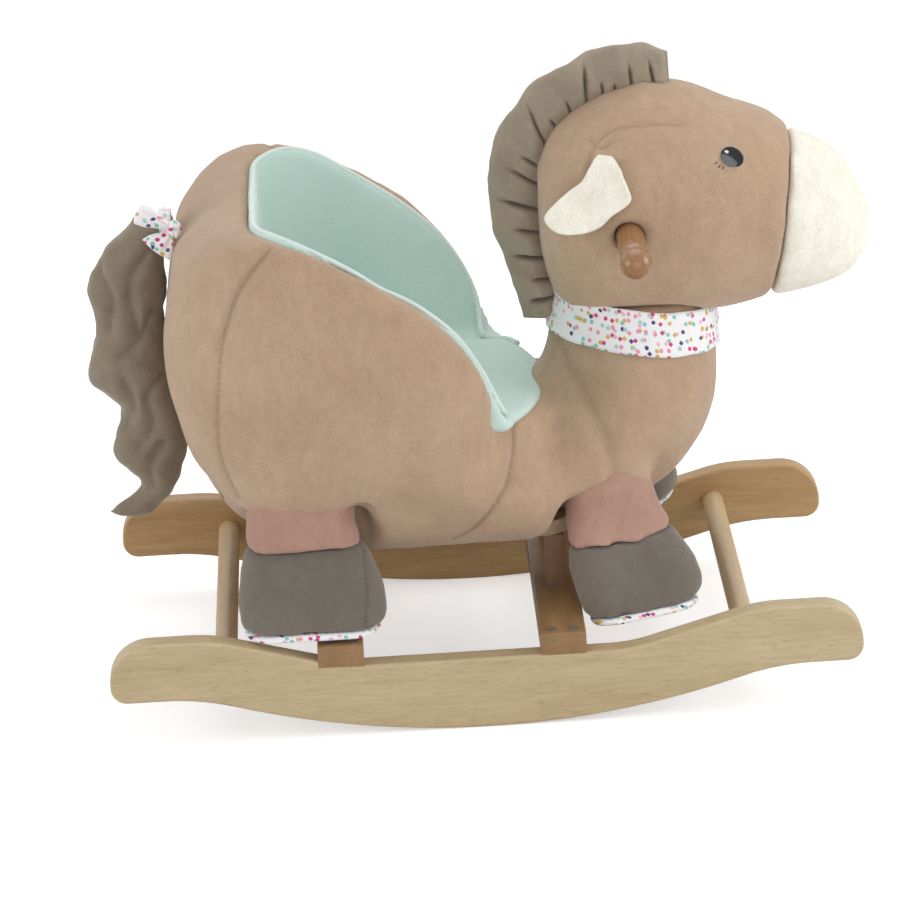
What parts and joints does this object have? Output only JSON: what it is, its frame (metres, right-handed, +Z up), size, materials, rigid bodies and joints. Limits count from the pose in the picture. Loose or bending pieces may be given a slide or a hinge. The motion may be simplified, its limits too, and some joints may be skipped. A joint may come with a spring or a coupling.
{
  "type": "rocking horse",
  "caption": "Plush rocking horse with a bucket seat, side handles and a scarf, on curved wooden rockers, for a toddler.",
  "frame": {"origin": "on the floor, under the middle of the two runners", "axes": "+X where the horse looks, +Y its left side, +Z up"},
  "size_m": [0.6388, 0.327, 0.5113],
  "materials": {
    "beech_boards": "satin lacquer",
    "beech_dowels": "satin lacquer",
    "varnished_beech": "clear varnish",
    "frame_wood": "sawn",
    "plywood": "sanded",
    "steel_screws": "zinc plated",
    "brown_plush": "short pile",
    "grey_plush": "short pile",
    "pink_plush": "short pile",
    "cream_plush": "short pile",
    "mint_knit": "brushed knit",
    "printed_cotton": "plain weave, printed",
    "black_eye": "polished"
  },
  "bodies": {
    "rocker_and_body": {"right_rocker": "beech_boards", "left_rocker": "beech_boards", "front_dowel": "beech_dowels", "rear_dowel": "beech_dowels", "front_slat": "beech_boards", "rear_slat": "beech_boards", "slat_screws": "steel_screws", "riser_blocks": "frame_wood", "riser_bolts": "steel_screws", "base_board": "plywood", "neck_post": "frame_wood", "post_screws": "steel_screws", "handle_bar": "frame_wood", "right_grip": "varnished_beech", "left_grip": "varnished_beech", "back_board": "plywood", "torso": "brown_plush", "right_wing": "brown_plush", "left_wing": "brown_plush", "backrest": "brown_plush", "seat_lining": "mint_knit", "seat_pad": "mint_knit", "neck": "brown_plush", "head": "brown_plush", "muzzle": "cream_plush", "mane": "grey_plush", "scarf": "printed_cotton", "right_eye": "black_eye", "left_eye": "black_eye"},
    "tail": {"tail": "grey_plush", "tail_bow": "printed_cotton"},
    "right_ear": {"right_ear": "brown_plush", "right_ear_lining": "cream_plush"},
    "left_ear": {"left_ear": "brown_plush", "left_ear_lining": "cream_plush"},
    "right_front_leg": {"right_front_leg_cuff": "pink_plush", "right_front_leg_hoof": "grey_plush", "right_front_leg_sole": "printed_cotton"},
    "right_rear_leg": {"right_rear_leg_cuff": "pink_plush", "right_rear_leg_hoof": "grey_plush", "right_rear_leg_sole": "printed_cotton"},
    "left_front_leg": {"left_front_leg_cuff": "pink_plush", "left_front_leg_hoof": "grey_plush", "left_front_leg_sole": "printed_cotton"},
    "left_rear_leg": {"left_rear_leg_cuff": "pink_plush", "left_rear_leg_hoof": "grey_plush", "left_rear_leg_sole": "printed_cotton"}
  },
  "joints": [
    {"name": "tail_swing", "type": "hinge", "parent": "rocker_and_body", "child": "tail", "pos_m": [-0.223, 0, 0.398], "axis": [0, 1, 0], "range_deg": [0, 50]},
    {"name": "right_ear_flap", "type": "hinge", "parent": "rocker_and_body", "child": "right_ear", "pos_m": [0.1122, -0.0575, 0.4415], "axis": [-0.9929, 0.1189, 0], "range_deg": [0, 60]},
    {"name": "left_ear_flap", "type": "hinge", "parent": "rocker_and_body", "child": "left_ear", "pos_m": [0.1122, 0.0575, 0.4415], "axis": [0.9929, 0.1189, 0], "range_deg": [0, 60]},
    {"name": "right_rear_leg_flap", "type": "hinge", "parent": "rocker_and_body", "child": "right_rear_leg", "pos_m": [-0.141, -0.104, 0.178], "axis": [-1, 0, 0], "range_deg": [0, 20]},
    {"name": "left_rear_leg_flap", "type": "hinge", "parent": "rocker_and_body", "child": "left_rear_leg", "pos_m": [-0.141, 0.104, 0.178], "axis": [1, 0, 0], "range_deg": [0, 20]},
    {"name": "right_front_leg_flap", "type": "hinge", "parent": "rocker_and_body", "child": "right_front_leg", "pos_m": [0.107, -0.07, 0.156], "axis": [-0.9877, 0, -0.1564], "range_deg": [0, 20]},
    {"name": "left_front_leg_flap", "type": "hinge", "parent": "rocker_and_body", "child": "left_front_leg", "pos_m": [0.107, 0.07, 0.156], "axis": [0.9877, 0, 0.1564], "range_deg": [0, 20]}
  ]
}
